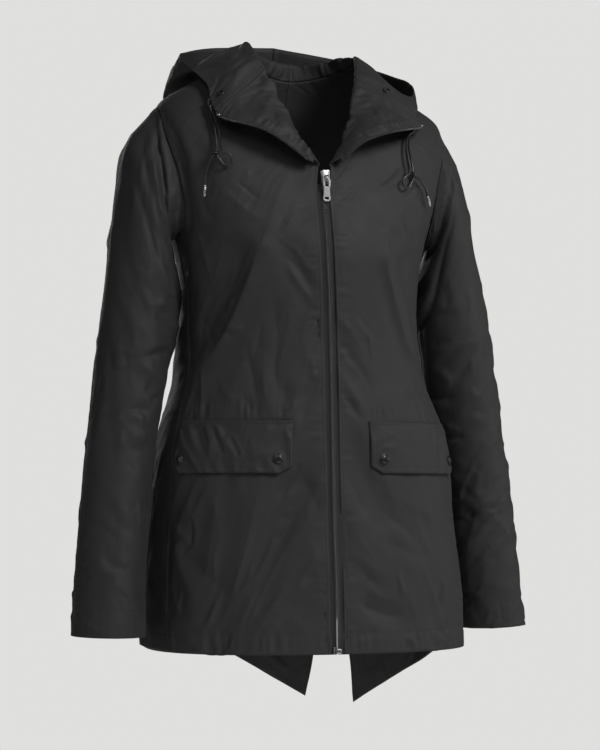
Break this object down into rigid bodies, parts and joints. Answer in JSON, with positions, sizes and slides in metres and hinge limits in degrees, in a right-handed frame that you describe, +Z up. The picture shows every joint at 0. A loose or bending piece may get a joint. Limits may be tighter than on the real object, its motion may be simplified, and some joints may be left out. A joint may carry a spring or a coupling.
{
  "type": "hooded jacket",
  "caption": "Hip-length hooded zip jacket in dark woven cloth, worn open at the neck with turned-out lapels, snapped pocket flaps, hood drawcords and a fishtail back.",
  "frame": {"origin": "middle of the neck, level with the tops of the shoulders, where the wearer carries the jacket", "axes": "+Z up, +X to the wearer's left, -Y out of the front"},
  "size_m": [0.596, 0.3502, 0.8721],
  "materials": {
    "shell_cloth": "fine plain weave, matt with a faint sheen",
    "zip_tape": "twill tape",
    "zip_teeth": "dark metal",
    "steel": "satin metal",
    "snap_enamel": "black enamel",
    "cord": "round braid"
  },
  "bodies": {
    "jacket": {"front_right": "shell_cloth", "back_right": "shell_cloth", "sleeve_front_right": "shell_cloth", "sleeve_back_right": "shell_cloth", "lapel_right": "shell_cloth", "hood_right": "shell_cloth", "pocket_flap_right": "shell_cloth", "snap_inner_right": "snap_enamel", "snap_outer_right": "snap_enamel", "zip_tape_right": "zip_tape", "zip_edge_right": "zip_teeth", "drawcord_right": "cord", "drawcord_loop_right": "cord", "cord_knot_right": "cord", "cord_tip_right": "steel", "eyelet_right": "snap_enamel", "front_left": "shell_cloth", "back_left": "shell_cloth", "sleeve_front_left": "shell_cloth", "sleeve_back_left": "shell_cloth", "lapel_left": "shell_cloth", "hood_left": "shell_cloth", "pocket_flap_left": "shell_cloth", "snap_inner_left": "snap_enamel", "snap_outer_left": "snap_enamel", "zip_tape_left": "zip_tape", "zip_edge_left": "zip_teeth", "drawcord_left": "cord", "drawcord_loop_left": "cord", "cord_knot_left": "cord", "cord_tip_left": "steel", "eyelet_left": "snap_enamel", "zip_slider": "steel", "zip_bridge": "steel", "zip_chain": "zip_teeth", "zip_box": "zip_teeth"},
    "zip_pull": {"pull_tab": "steel"}
  },
  "joints": [
    {"name": "pull_tab_hinge", "type": "hinge", "parent": "jacket", "child": "zip_pull", "pos_m": [0.00178, -0.11786, -0.145], "axis": [-1, 0, 0], "range_deg": [0, 150]}
  ]
}
